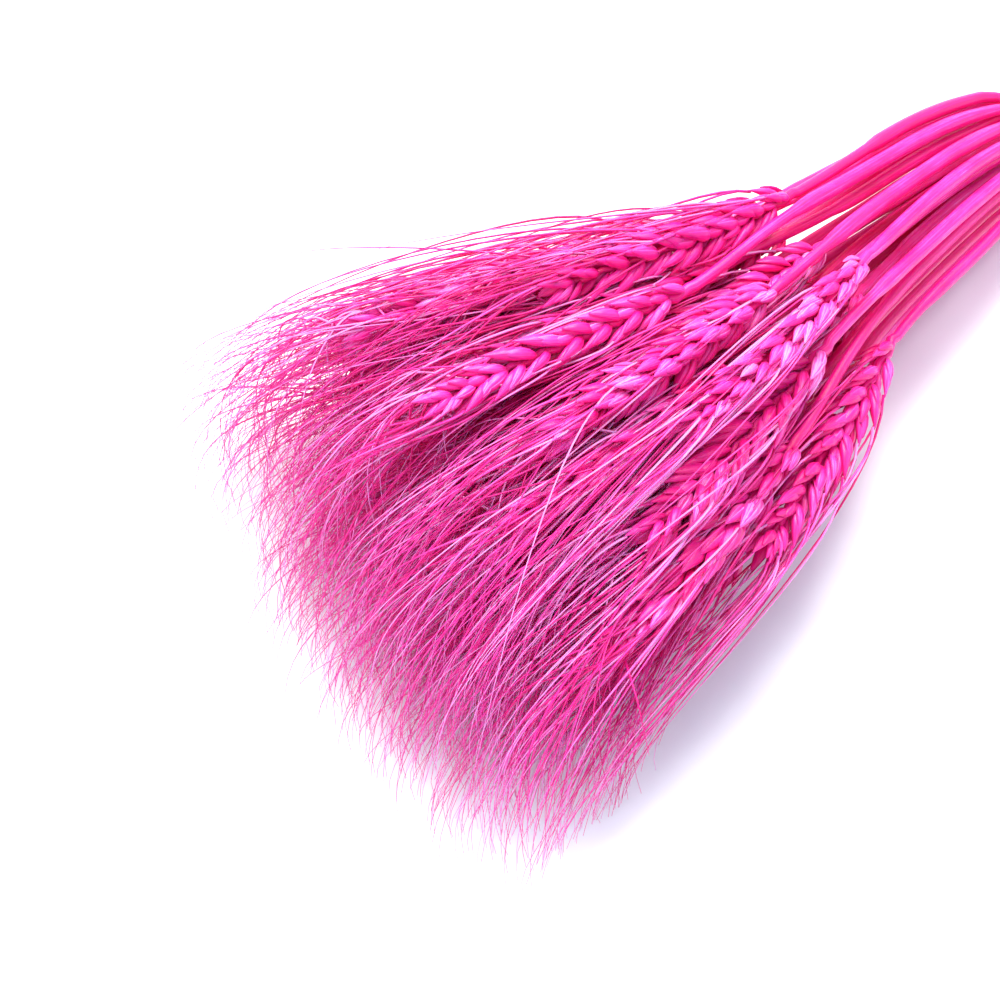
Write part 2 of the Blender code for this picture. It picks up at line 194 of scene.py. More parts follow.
class Recipe:
    """A Geometry Nodes tree that is written one node at a time."""

    def __init__(self, name, **sizes):
        self.tree = bpy.data.node_groups.new(name, "GeometryNodeTree")
        self.tree.interface.new_socket("Geometry", in_out="INPUT", socket_type="NodeSocketGeometry")
        self.sockets = {}
        for label, (kind, value) in sizes.items():
            socket = self.tree.interface.new_socket(label, in_out="INPUT", socket_type=f"NodeSocket{kind}")
            if value is not None:
                socket.default_value = value
            self.sockets[label] = socket.identifier
        self.tree.interface.new_socket("Geometry", in_out="OUTPUT", socket_type="NodeSocketGeometry")
        self.given = self.tree.nodes.new("NodeGroupInput").outputs

    def put(self, socket, value):
        plug(self.tree, socket, value)

    def add(self, kind, *values, settings=None, result=0):
        """Adds a node. Each value is for one input, in order, and None leaves an input alone."""
        node = self.tree.nodes.new(kind)
        for key, value in (settings or {}).items():
            setattr(node, key, value)
        for socket, value in zip(node.inputs, values):
            if value is not None:
                self.put(socket, value)
        return node.outputs[result]

    def math(self, operation, *values):
        return self.add("ShaderNodeMath", *values, settings={"operation": operation})

    def named(self, name, kind="FLOAT"):
        return self.add("GeometryNodeInputNamedAttribute", name, settings={"data_type": kind})

    def store(self, geometry, name, value, kind="FLOAT"):
        settings = {"data_type": kind, "domain": "POINT"}
        return self.add("GeometryNodeStoreNamedAttribute", geometry, None, name, value, settings=settings)

    def mix(self, factor, a, b):
        """The point between two points. A Mix node has a set of numbered sockets for each kind of value."""
        node = self.tree.nodes.new("ShaderNodeMix")
        node.data_type = "VECTOR"
        for place, value in ((0, factor), (4, a), (5, b)):
            self.put(node.inputs[place], value)
        return node.outputs[1]

    def scaled(self, vector, factor):
        """A vector times a number."""
        result = self.add("ShaderNodeVectorMath", vector, settings={"operation": "SCALE"})
        self.put(result.node.inputs["Scale"], factor)
        return result

    def spline_length(self):
        """The length along a curve, which is the second result of Spline Parameter."""
        return self.add("GeometryNodeSplineParameter", result=1)

    def tube(self, path, sides, radius):
        """Sweeps a ring along a path. The ring's own place is kept, to lay grain along the tube."""
        ring = self.add("GeometryNodeCurvePrimitiveCircle", sides, None, None, None, 1.0)
        ring = self.store(ring, "round", self.add("GeometryNodeInputPosition"), "FLOAT_VECTOR")
        return self.add("GeometryNodeCurveToMesh", path, ring, radius, True)

    def finish(self, geometry, material):
        geometry = self.add("GeometryNodeSetShadeSmooth", geometry)
        geometry = self.add("GeometryNodeRealizeInstances", geometry)
        geometry = self.add("GeometryNodeSetMaterial", geometry, None, material)
        end = self.tree.nodes.new("NodeGroupOutput")
        self.tree.links.new(geometry, end.inputs[0])


def baked(name, mesh, recipe, **values):
    """Runs a recipe on a mesh and returns the result as a plain mesh."""
    helper = bpy.data.objects.new(name, mesh)
    bpy.context.scene.collection.objects.link(helper)
    modifier = helper.modifiers.new("grow", "NODES")
    modifier.node_group = recipe.tree
    for label, value in values.items():
        modifier[recipe.sockets[label]] = value
    evaluated = helper.evaluated_get(bpy.context.evaluated_depsgraph_get())
    result = bpy.data.meshes.new_from_object(evaluated)
    bpy.data.objects.remove(helper)
    bpy.data.meshes.remove(mesh)
    return result


def keep_values(mesh, label, values):
    """Stores a named number or vector on each point of a mesh."""
    if hasattr(values[0], "__len__"):
        kind, field, flat = "FLOAT_VECTOR", "vector", [part for value in values for part in value]
    else:
        kind, field, flat = "FLOAT", "value", list(values)
    mesh.attributes.new(label, kind, "POINT").data.foreach_set(field, flat)


def points_mesh(name, points, edges=(), **attributes):
    """A mesh of bare points, joined by edges where asked, that carries named values for a recipe."""
    mesh = bpy.data.meshes.new(name)
    mesh.from_pydata(points, edges, [])
    for label, values in attributes.items():
        keep_values(mesh, label, values)
    return mesh


def chained(name, points, **attributes):
    """A mesh of points joined one after another, as a path for a recipe."""
    return points_mesh(name, points, [(i, i + 1) for i in range(len(points) - 1)], **attributes)


print("tools ready:", Recipe.__name__, baked.__name__, points_mesh.__name__)

# %% [markdown]
# ## The finishes
#
# Dyed straw is not one flat pink. The dye soaks unevenly, so ears and bracts differ from red-pink to lilac-pink.
# The skin of a bract or a straw is polished and ribbed lengthwise, and its fine fibres catch a pale violet sheen.
# Each recipe stores three values on its mesh: round, which is the place round a tube or a bract, along, which is
# the length along it, and tint, which is how pale the dye came out, together with painted light by the stalk's
# row:
# the top row is painted paler and the bottom row darker. The finish reads them, so the ribs follow every bend.

# %% A helper for finishes
# results by number: an attribute's vector and its factor, and the Object coordinates of Texture Coordinate
VECTOR, FACTOR, OBJECT = 1, 2, 3


class Finish:
    """A material that is written one node at a time."""

    def __init__(self, name):
        self.material = bpy.data.materials.new(name)
        self.material.use_nodes = True
        self.tree = self.material.node_tree
        self.nodes = self.tree.nodes
        self.shader = self.nodes["Principled BSDF"]

    def put(self, socket, value):
        plug(self.tree, socket, value)

    def add(self, kind, result=0, settings=None, **values):
        node = self.nodes.new(kind)
        for key, value in (settings or {}).items():
            setattr(node, key, value)
        for key, value in values.items():
            self.put(node.inputs[key], value)
        return node.outputs[result]

    def attribute(self, name, result=FACTOR):
        return self.add("ShaderNodeAttribute", result, {"attribute_name": name})

    def noise(self, place, scale, **values):
        return self.add("ShaderNodeTexNoise", Vector=place, Scale=scale, **values)

    def blotches(self, scale, **values):
        """Noise that is fixed to the piece, by its Object coordinates."""
        return self.noise(self.add("ShaderNodeTexCoord", OBJECT), scale, **values)

    def bump(self, height, strength, depth):
        return self.add("ShaderNodeBump", Strength=strength, Distance=depth, Height=height)

    def math(self, operation, a, b=0.0, c=0.0):
        node = self.nodes.new("ShaderNodeMath")
        node.operation = operation
        for socket, value in zip(node.inputs, (a, b, c)):
            self.put(socket, value)
        return node.outputs[0]

    def ramp(self, factor, *stops):
        node = self.nodes.new("ShaderNodeValToRGB")
        elements = node.color_ramp.elements
        for element, (place, color) in zip((elements[0], elements[1]), (stops[0], stops[-1])):
            element.position, element.color = place, color
        for place, color in stops[1:-1]:
            elements.new(place).color = color
        self.put(node.inputs[0], factor)
        return node.outputs[0]

    def grain(self, round_scale, along_scale, **values):
        """Noise drawn out lengthwise, in the frame of the tube or bract itself."""
        across = self.add("ShaderNodeVectorMath", settings={"operation": "SCALE"}, Scale=round_scale)
        self.put(across.node.inputs[0], self.attribute("round", VECTOR))
        length = self.math("MULTIPLY", self.attribute("along"), along_scale)
        both = self.add("ShaderNodeVectorMath", settings={"operation": "ADD"})
        self.put(both.node.inputs[0], across)
        self.put(both.node.inputs[1], self.add("ShaderNodeCombineXYZ", Z=length))
        return self.noise(both, 1.0, **values)

    def set(self, **values):
        """Sets inputs of the shader. An underscore stands for the space in a socket's name."""
        for key, value in values.items():
            self.put(self.shader.inputs[key.replace("_", " ")], value)


print("helper ready:", Finish.__name__)

# %% The dyed finish
CRIMSON_PINK = (0.76, 0.002, 0.17, 1)
HOT_PINK = (0.92, 0.007, 0.27, 1)
LILAC_PINK = (0.97, 0.05, 0.44, 1)
PALE_LILAC = (1.0, 0.24, 0.66, 1)
BLEACHED_LILAC = (1.0, 0.34, 0.74, 1)
DYE = ((0.0, CRIMSON_PINK), (0.36, HOT_PINK), (0.70, LILAC_PINK), (0.88, PALE_LILAC), (1.0, BLEACHED_LILAC))
VIOLET_WHITE = (0.93, 0.72, 1.0, 1)
BLOTCH_SCALE = 95.0
BLOTCH_SHARE = 0.7
RIB_SHARE = 1.7
RIB_ROUGHNESS = 0.3
GLOW_DEPTH = 1.2 * MM
BRACT_LENGTH = 9 * MM


def around_zero(finish, noise):
    return finish.math("SUBTRACT", noise, 0.5)


def dyed(name, ribs, rib_length, depth, roughness, paler=0.0, paler_towards_tip=0.0, painted_tip_shade=0.0):
    """Dyed straw: uneven dye by the tint of the piece, which also carries painted light by the stalk's row, ribs
    lengthwise, and a pale violet sheen.

    A bract gets paler towards its tip, and an awn's tint is painted darker with each metre of its length, a
    painted shade on its drooping tip.
    """
    finish = Finish(name)
    blotch = finish.blotches(BLOTCH_SCALE, Detail=3.0, Roughness=0.6)
    rib = finish.grain(ribs, rib_length, Detail=3.0, Roughness=0.65)
    tint = finish.math("MULTIPLY_ADD", around_zero(finish, blotch), BLOTCH_SHARE, finish.attribute("tint"))
    tint = finish.math("MULTIPLY_ADD", around_zero(finish, rib), RIB_SHARE, tint)
    tint = finish.math("ADD", tint, paler)
    # the bract's tint rises towards its tip
    if paler_towards_tip:
        up = finish.math("MULTIPLY", finish.attribute("along"), 1 / BRACT_LENGTH)
        tint = finish.math("MULTIPLY_ADD", finish.math("POWER", up, 3.0), paler_towards_tip, tint)
    # painted shade: the awn's tint darkens with each metre along it, so its tip is painted darker
    if painted_tip_shade:
        tint = finish.math("MULTIPLY_ADD", finish.attribute("along"), -painted_tip_shade, tint)
    rough = finish.math("MULTIPLY_ADD", rib, RIB_ROUGHNESS, roughness - RIB_ROUGHNESS / 2)
    finish.set(Base_Color=finish.ramp(tint, *DYE), Roughness=rough, Normal=finish.bump(rib, 0.6, depth))
    finish.set(Specular_IOR_Level=0.5, Sheen_Weight=0.05, Sheen_Roughness=0.4, Sheen_Tint=VIOLET_WHITE)
    finish.set(Subsurface_Weight=0.25, Subsurface_Radius=(1.0, 0.05, 0.25), Subsurface_Scale=GLOW_DEPTH)
    return finish.material


straw_finish = dyed("dyed straw skin", ribs=5.0, rib_length=60.0, depth=0.14 * MM, roughness=0.36)
chaff_finish = dyed("dyed chaff", ribs=3.6, rib_length=130.0, depth=0.16 * MM, roughness=0.34, paler_towards_tip=0.3)
# the awn's tint is painted darker towards its tip, as painted shade
awn_finish = dyed("dyed awn", ribs=1.2, rib_length=90.0, depth=0.03 * MM, roughness=0.34, paler=0.11, painted_tip_shade=3.6)
print("dyed finishes:", straw_finish.name, chaff_finish.name, awn_finish.name)

# %% [markdown]
# ## The straw and the rachis
#
# A straw is a hollow tube with fine ribs, and a leaf sheath wraps its middle. The rows of straws lean aside in
# turn, so that each shows between the ones above it, and they come back to their ears. Above the straw the rachis,
# the ear's spine, steps left and right from one spikelet to the next. Both are one path: from the cut end through
# the tie to the ear, then zigzag to the ear's top. A recipe turns the path's points into a curve and sweeps a ring
# along it.

# %% The straw recipe
straw_recipe = Recipe("straw", Sides=("Int", 10), Material=("Material", None))
path = straw_recipe.add("GeometryNodeMeshToCurve", straw_recipe.given["Geometry"])
path = straw_recipe.store(path, "along", straw_recipe.spline_length())
tube = straw_recipe.tube(path, straw_recipe.given["Sides"], straw_recipe.named("thick"))
straw_recipe.finish(tube, straw_recipe.given["Material"])
print("nodes in the straw recipe:", len(straw_recipe.tree.nodes))

# %% Lay a straw and its rachis
STRAW_RADIUS = 1.38 * MM
SHEATH_RADIUS = (1.6 * MM, 2.25 * MM)
SHEATH_STARTS = (12 * MM, 46 * MM)
# the sheath ends in a collar, so far below the ear in mm, and past it the straw is nearly bare
COLLAR_PLACES = (6, 52)
COLLAR_LENGTH = 5 * MM
SHEATH_THINS = 0.85
STRAW_STEP = 4 * MM
SWELLING = 0.03
# straws lean aside from one distance to another and come back before their ears, by shares of the pitch there
SWAY_STARTS = (12 * MM, 40 * MM)
SWAY_ENDS = 50 * MM
ROW_SWAY = 0.23
OWN_SWAY = 0.13
# the straws of the far upper side also spread outwards, most where the tie lets them go
SPREAD_STARTS = (7 * MM, 27 * MM)
FAR_TOP = Vector((0.8, 0.6))
FAR_SPREAD = Vector((0, 6.4, 2.6)) * MM
LEVELS = 8
LEVEL_PITCH = 8.25 * MM
FIRST_LEVEL = 2 * MM
RACHIS_STEP = 0.55 * MM
RACHIS_RADII = (1.15, 0.45, 0.6)  # mm: at its foot, how much it loses by its top, and at its very end
NECK_SWELLING = 0.25


def root_of(side, level):
    """How far up the ear a spikelet is rooted. The two rows alternate."""
    return FIRST_LEVEL + level * LEVEL_PITCH + (LEVEL_PITCH / 2 if side > 0 else 0)


def ease(value, start, end):
    """From 0 at the start to 1 at the end, smoothly."""
    t = min(max((value - start) / (end - start), 0.0), 1.0)
    return t * t * (3 - 2 * t)


def straw_sway(stalk, own):
    """How far aside a straw leans between the tie and its ear, as a function of s. Rows lean in turn."""
    parity = 1 if stalk.row % 2 else -1
    far = max(stalk.place.dot(FAR_TOP) / HALF_ACROSS, 0.0)

    def sway(s):
        out = ease(s, *SWAY_STARTS) * (1 - ease(s, stalk.start - SWAY_ENDS, stalk.start))
        past_spread = max(s - SPREAD_STARTS[1], 0.0) / (stalk.start - SPREAD_STARTS[1])
        straight = ease(s, *SPREAD_STARTS) * (1 - past_spread)
        pitch = at_section(HALF_WIDTH, s) * MM / RINGS
        aside = out * pitch * (parity * ROW_SWAY + own * OWN_SWAY)
        return Vector((0, aside, 0)) + FAR_SPREAD * straight * far
    return sway


def straw_path(stalk, dice):
    """The points of the straw and the rachis, each with its radius."""
    points, thick = [], []
    sway = straw_sway(stalk, random.Random(stalk.cut).uniform(-1, 1))
    sheath = dice.uniform(*SHEATH_RADIUS)
    collar = stalk.start - dice.uniform(*COLLAR_PLACES) * MM
    steps = round((stalk.start - stalk.cut) / STRAW_STEP)
    for i in range(steps):
        s = stalk.cut + (stalk.start - stalk.cut) * i / steps
        points.append(in_fan(stalk.place, s) + sway(s))
        wrapped = ease(s, *SHEATH_STARTS) * (1 - SHEATH_THINS * ease(s, collar, collar + COLLAR_LENGTH))
        wavy = 0.98 + SWELLING * math.sin(i * 0.5 + stalk.cut / MM)
        thick.append((STRAW_RADIUS + (sheath - STRAW_RADIUS) * wrapped) * wavy)
    foot, loss, tip = RACHIS_RADII
    for level in range(LEVELS):
        for side in (-1, 1):
            share = (level + side * 0.25 + 0.25) / LEVELS
            points.append(stalk.at(root_of(side, level) - LEVEL_PITCH / 2, side * RACHIS_STEP, 0))
            thick.append((foot - loss * share + (NECK_SWELLING if level == 0 else 0)) * MM)
    points.append(stalk.at(root_of(1, LEVELS - 1) + MM, 0, 0))
    thick.append(tip * MM)
    return points, thick


print("straw radius in mm:", STRAW_RADIUS / MM, "with a sheath:", [round(r / MM, 2) for r in SHEATH_RADIUS])

# %% Hollow the cut end
WALL = 0.42 * MM
BORE_DEPTH = 6 * MM


def bore_out(mesh):
    """Hollows the cut end of the straw, which is the flat cap furthest from the ears."""
    bm = bmesh.new()
    bm.from_mesh(mesh)
    caps = [face for face in bm.faces if len(face.verts) > 4]
    cap = max(caps, key=lambda face: face.calc_center_median().x)
    inward = -cap.normal.copy()
    bmesh.ops.inset_individual(bm, faces=[cap], thickness=WALL)
    bore = bmesh.ops.extrude_discrete_faces(bm, faces=[cap])["faces"][0]
    bmesh.ops.translate(bm, vec=inward * BORE_DEPTH, verts=bore.verts)
    bm.to_mesh(mesh)
    bm.free()


print("bore in mm:", BORE_DEPTH / MM, "deep, wall", round(WALL / MM, 2))

# %% [markdown]
# ## The bracts
#
# A spikelet is a handful of boat-shaped bracts. Two dry glumes stand at its foot, left and right, and above them
# sit the lemmas, which are plump because each wraps a grain. One bract of each kind is modelled as a closed shell
# of a few dozen faces: width and depth follow a curve from foot to tip, the back has a keel, and the tip ends in a
# beak. It is then repeated by the thousand, each one turned and sized by its place in the ear.

# %% Shape one bract
# each pair: how far up the bract, and half its width there
LEMMA = ((0.0, 0.22), (0.10, 0.56), (0.25, 0.90), (0.41, 1.0), (0.59, 0.80), (0.78, 0.44), (0.92, 0.19))
GLUME = ((0.0, 0.24), (0.09, 0.56), (0.24, 0.88), (0.43, 1.0), (0.64, 0.84), (0.83, 0.50), (0.94, 0.24))
BRACT_SIDES = 8
KEEL_SHARPNESS = 6
FLARE_SHARPNESS = 4


def bract_shape(name, outline, belly, keel, bow, flare):
    """A bract of unit length along Z and unit half width along X, with its back towards Y.

    belly is how round its inner side is, keel how far the keel stands out, bow how far its middle arches back, and
    flare how far its tip leans back.
    """
    bm = bmesh.new()
    rings, marks = [], {}
    for t, half in outline:
        bulge = bow * math.sin(math.pi * t) + flare * t**FLARE_SHARPNESS
        ring = []
        for k in range(BRACT_SIDES):
            turn = 2 * math.pi * k / BRACT_SIDES
            back = math.sin(turn)
            depth = (1 + keel * back**KEEL_SHARPNESS) * back if back > 0 else belly * back
            vert = bm.verts.new((half * math.cos(turn), half * depth + bulge, t))
            marks[vert] = (math.cos(turn), math.sin(turn), t)
            ring.append(vert)
        rings.append(ring)
    for lower, upper in zip(rings, rings[1:]):
        for k in range(BRACT_SIDES):
            j = (k + 1) % BRACT_SIDES
            bm.faces.new((lower[k], lower[j], upper[j], upper[k]))
    bm.faces.new(list(reversed(rings[0])))
    tip = bm.verts.new((0, flare, 1.0))
    marks[tip] = (0, 0, 1)
    for k in range(BRACT_SIDES):
        bm.faces.new((rings[-1][k], rings[-1][(k + 1) % BRACT_SIDES], tip))
    order = [marks[vert] for vert in bm.verts]
    mesh = bpy.data.meshes.new(name)
    bm.to_mesh(mesh)
    bm.free()
    keep_values(mesh, "round", [(x, y, 0.0) for x, y, _ in order])
    keep_values(mesh, "along", [t * BRACT_LENGTH for _, _, t in order])
    shape = bpy.data.objects.new(name, mesh)
    bpy.context.scene.collection.objects.link(shape)
    return shape


lemma_shape = bract_shape("lemma shape", LEMMA, belly=0.70, keel=0.22, bow=0.28, flare=0.22)
glume_shape = bract_shape("glume shape", GLUME, belly=0.30, keel=0.55, bow=0.42, flare=0.12)
print("faces in one bract:", len(lemma_shape.data.polygons))

# %% The bract recipe
OBJECT_GEOMETRY = 4  # the result of Object Info by number
chaff_recipe = Recipe("chaff", Lemma=("Object", None), Glume=("Object", None), Material=("Material", None))
grown = []
for wanted, label in ((1.0, "Lemma"), (0.0, "Glume")):
    chosen = chaff_recipe.add("GeometryNodeObjectInfo", chaff_recipe.given[label], result=OBJECT_GEOMETRY)
    is_kind = chaff_recipe.add("FunctionNodeCompare", chaff_recipe.named("fertile"), wanted,
                               settings={"operation": "EQUAL"})
    turned = chaff_recipe.add("FunctionNodeEulerToRotation", chaff_recipe.named("turned", "FLOAT_VECTOR"))
    size = chaff_recipe.named("size", "FLOAT_VECTOR")
    grown.append(chaff_recipe.add("GeometryNodeInstanceOnPoints", chaff_recipe.given["Geometry"], is_kind, chosen,
                                  None, None, turned, size))
both = chaff_recipe.tree.nodes.new("GeometryNodeJoinGeometry")
for geometry in grown:
    chaff_recipe.tree.links.new(geometry, both.inputs[0])
chaff_recipe.finish(both.outputs[0], chaff_recipe.given["Material"])
print("nodes in the chaff recipe:", len(chaff_recipe.tree.nodes))

# %% [markdown]
# ## The spikelets
#
# Seen from its wide side an ear is a herringbone, because the two rows of spikelets lean away from the rachis and
# alternate. Seen from its narrow side it is a braid of glumes. Both come from one rule for a spikelet: each bract
# has a place beside the spikelet's root, a lean outwards, and a spread to one side. Ears differ in how open and
# how plump they are, and the spikelets at the foot and the top of an ear are smaller.

# %% Turn and size one bract
# kind; lift up the ear, out from it and across it in mm; lean out and spread across; degrees that its back turns
# aside; length, half width and depth in mm
BRACTS = (
    ("glume", -2.2, 0.3, 1.1, 0.56, 0.34, 56, 9.6, 2.05, 1.1),
    ("lemma", -0.8, 0.6, 0.9, 0.48, 0.24, 36, 12.2, 2.05, 1.6),
    ("lemma", 2.0, 1.5, 0.5, 0.40, 0.05, 10, 10.8, 1.85, 1.5),
    ("glume", 2.2, 0.2, 0.8, 0.20, 0.20, 70, 9.0, 1.8, 1.2),
)
PAIRED = 2  # the first rows of the table stand on both sides of the spikelet
BRACT_SIZES = (0.88, 1.1)
BRACT_TINTS = (-0.16, 0.2)
BRACT_WOBBLE = (-0.07, 0.07)
AWN_ROOT = 0.97  # how far up its lemma an awn starts


class Bract:
    """One bract's place, the way that it points, and its size."""

    def __init__(self, stalk, spikelet, hand, row, dice):
        kind, lift, out, across, lean, spread, facing, length, half, depth = row
        root, side, openness, size, sway, tint = spikelet
        self.fertile = kind == "lemma"
        size = size * dice.uniform(*BRACT_SIZES)
        lean = lean * openness + dice.uniform(*BRACT_WOBBLE)
        spread = spread * hand + sway + dice.uniform(*BRACT_WOBBLE)
        outward = stalk.out * side
        self.point = stalk.at(root + lift * MM, side * out * MM * size, hand * across * MM * size)
        self.along = (stalk.along + outward * lean + stalk.across * spread).normalized()
        turn = math.radians(facing) * hand
        back = square_to(outward * math.cos(turn) + stalk.across * math.sin(turn), self.along)
        sideways = back.cross(self.along)
        self.turned = Matrix((sideways, back, self.along)).transposed().to_euler()
        self.size = Vector((half, depth, length)) * MM * size
        self.tip = self.point + self.along * self.size.z * AWN_ROOT
        self.tint = tint + dice.uniform(*BRACT_TINTS)


print("bracts in a spikelet:", len(BRACTS) + PAIRED)

# %% Place the bracts of an ear
EAR_OPENNESS = (0.85, 1.2)
EAR_PLUMPNESS = (0.95, 1.08)
ROOT_SCATTER = (-0.7, 0.7)  # mm
FULLEST = 0.45  # how far up the ear the spikelets are largest
SMALLEST = 0.66  # their size at its two ends
SPIKELET_SIZES = (0.93, 1.07)
SPIKELET_OPENNESS = (0.75, 1.25)
SPIKELET_SWAY = 0.10
SPIKELET_TINT = 0.08
TOP_OPENNESS = 0.5
TOP_SIZE = 0.75
HANDS = (1, -1)


def ear_bracts(stalk, dice):
    """Every bract of an ear, from its foot to the spikelet at its top."""
    paired, single = BRACTS[:PAIRED], BRACTS[PAIRED:]
    openness = dice.uniform(*EAR_OPENNESS)
    plump = dice.uniform(*EAR_PLUMPNESS)
    made = []
    for level in range(LEVELS):
        for side in (-1, 1):
            root = root_of(side, level) + dice.uniform(*ROOT_SCATTER) * MM
            place = abs(root / (LEVELS * LEVEL_PITCH) - FULLEST) * 2
            size = plump * (1 - (1 - SMALLEST) * place**3) * dice.uniform(*SPIKELET_SIZES)
            opened = openness * dice.uniform(*SPIKELET_OPENNESS)
            sway, tint = dice.gauss(0, SPIKELET_SWAY), dice.gauss(0, SPIKELET_TINT)
            spikelet = (root, side, opened, size, sway, tint)
            for row in paired:
                made += [Bract(stalk, spikelet, hand, row, dice) for hand in HANDS]
            made += [Bract(stalk, spikelet, dice.choice(HANDS), row, dice) for row in single]
    top = root_of(1, LEVELS - 1) + 2 * MM
    for side in (1, -1):
        spikelet = (top, side, TOP_OPENNESS, TOP_SIZE, 0.0, 0.0)
        for row in paired:
            made += [Bract(stalk, spikelet, hand, row, dice) for hand in HANDS]
    return made


def chaff_mesh(bracts, tint):
    return points_mesh(
        "bracts", [bract.point for bract in bracts],
        turned=[tuple(bract.turned) for bract in bracts], size=[tuple(bract.size) for bract in bracts],
        tint=[tint + bract.tint for bract in bracts], fertile=[float(bract.fertile) for bract in bracts])


print("spikelets in an ear:", LEVELS * 2, "and the one at its top")

# %% [markdown]
# ## The awns
#
# An awn leaves the tip of its lemma in the lemma's own direction, swings into the flow of the fan, and runs with
# it for about eleven centimetres. Where nothing carries it any more, near the rim, it droops and its tip hooks
# over. That is a curve with four handles: the root, a point ahead of the root, a point before the tip, and the
# tip. The recipe puts a straight line of points on each root, moves every point to its place between the handles,
# adds a slow wave, keeps it above the surface, and sweeps a thin three-sided needle along it.

# %% The awn recipe
HANDLES = ("root", "ahead", "before", "tip")
WAVE_PLACES = 900.0  # so large that neighbouring awns read different parts of the noise
TAPER_POWER = 1.3
awn_recipe = Recipe(
    "awns", Segments=("Int", 18), Sides=("Int", 3), Wave=("Float", 3 * MM), Waves=("Float", 1.7),
    TipShare=("Float", 0.14), Ground=("Float", 0.35 * MM), Seed=("Float", 4.0), Material=("Material", None))
given = awn_recipe.given
line = awn_recipe.add("GeometryNodeCurvePrimitiveLine", (0, 0, 0), (1, 0, 0))
line = awn_recipe.add("GeometryNodeResampleCurve", line, None, awn_recipe.math("ADD", given["Segments"], 1.0))
lines = awn_recipe.add("GeometryNodeInstanceOnPoints", given["Geometry"], None, line)
lines = awn_recipe.add("GeometryNodeRealizeInstances", lines)
share = awn_recipe.add("GeometryNodeSplineParameter")
rows = [awn_recipe.named(label, "FLOAT_VECTOR") for label in HANDLES]
own_place = awn_recipe.scaled(rows[0], WAVE_PLACES)
while len(rows) > 1:
    rows = [awn_recipe.mix(share, a, b) for a, b in zip(rows, rows[1:])]
moment = awn_recipe.math("ADD", awn_recipe.math("MULTIPLY", share, given["Waves"]), given["Seed"])
noise = awn_recipe.add("ShaderNodeTexNoise", own_place, moment, 1.0, 1.0, 0.5,
                       settings={"noise_dimensions": "4D"}, result=1)
wave = awn_recipe.add("ShaderNodeVectorMath", noise, (0.5, 0.5, 0.5), settings={"operation": "SUBTRACT"})
swing = awn_recipe.scaled(wave, awn_recipe.math("MULTIPLY", share, given["Wave"]))
waved = awn_recipe.add("ShaderNodeVectorMath", rows[0], swing, settings={"operation": "ADD"})
parts = awn_recipe.tree.nodes.new("ShaderNodeSeparateXYZ")
awn_recipe.put(parts.inputs[0], waved)
height = awn_recipe.math("MAXIMUM", parts.outputs[2], given["Ground"])
kept_up = awn_recipe.add("ShaderNodeCombineXYZ", parts.outputs[0], parts.outputs[1], height)
lines = awn_recipe.add("GeometryNodeSetPosition", lines, None, kept_up)
lines = awn_recipe.store(lines, "along", awn_recipe.spline_length())
slender = awn_recipe.math("POWER", awn_recipe.math("SUBTRACT", 1.0, share), TAPER_POWER)
lost = awn_recipe.math("SUBTRACT", 1.0, given["TipShare"])
taper = awn_recipe.math("MULTIPLY_ADD", slender, lost, given["TipShare"])
thick = awn_recipe.math("MULTIPLY", taper, awn_recipe.named("thick"))
awn_recipe.finish(awn_recipe.tube(lines, given["Sides"], thick), given["Material"])
print("nodes in the awn recipe:", len(awn_recipe.tree.nodes))

# %% [markdown]
# The awns decide the outline, so their tips follow the fan: they end in a rounded rim, gathered into locks, lower
# than the place that they came from. The ones on the far side have the longest way to fall and hook the most. Each
# awn is given a place in the packing first, near its own stalk or drawn into one of the ear's locks.

# %% Give each awn a place in the packing
# distances here are in pitches of the packing
FAR_SWING = 0.85
OWN_SINK = -0.3
OWN_SCATTER = 0.4
LOCKS = 4
LOCK_SCATTER = 0.5
LOCK_PULL = 0.9
STRAYS = 0.05
STRAY_SCATTER = 0.7
STRAY_LIFT = (0.2, 1.0)
# how far from the packing's middle an awn may lie, in its half sizes: to the near side or down, far side, and up
PAST_NEAR, PAST_FAR, PAST_TOP = 1.05, 1.12, 1.02


def limited(value, low, high):
    return min(max(value, low), high)


def lock_places(stalk, dice):
    """The few places near the rim where this ear's awns gather."""
    spread = LOCK_SCATTER * PITCH
    return [stalk.place + Vector((dice.gauss(0, spread), dice.gauss(0, spread))) for _ in range(LOCKS)]


def awn_place(stalk, locks, dice):
    """Where in the packing an awn runs: beside its stalk, and more to the far side the further over that lies."""
    swing = FAR_SWING * (stalk.place[0] / HALF_ACROSS + 1) / 2
    own = stalk.place + Vector((dice.gauss(swing, OWN_SCATTER), dice.gauss(OWN_SINK, OWN_SCATTER))) * PITCH
    place = own.lerp(dice.choice(locks), LOCK_PULL * dice.random())
    if dice.random() < STRAYS:
        place = own + Vector((dice.gauss(0, STRAY_SCATTER), dice.uniform(*STRAY_LIFT))) * PITCH
    place[0] = limited(place[0], -HALF_ACROSS * PAST_NEAR, HALF_ACROSS * PAST_FAR)
    place[1] = limited(place[1], -HALF_UP * PAST_NEAR, HALF_UP * PAST_TOP)
    return place


print("locks for each ear:", LOCKS, "and share of stray awns:", STRAYS)

# %% Reach for the rim
AWN_LENGTH = 112 * MM
AWN_SCATTER = 16 * MM
RIM = 261 * MM
RIM_SLANT = 21 * MM
RIM_ROUNDING = 5 * MM
RIM_DEPTH = (35 * MM, 80 * MM)
SHORTER_IS_RARER = 1.25
FAR_REACH = 9 * MM
FAR_CORNER = (0.5, 0.4)  # where the extra reach starts across the fan, and over how much it grows
LONG_AWNS = 0.06
LONGER_BY = (2, 11)  # mm


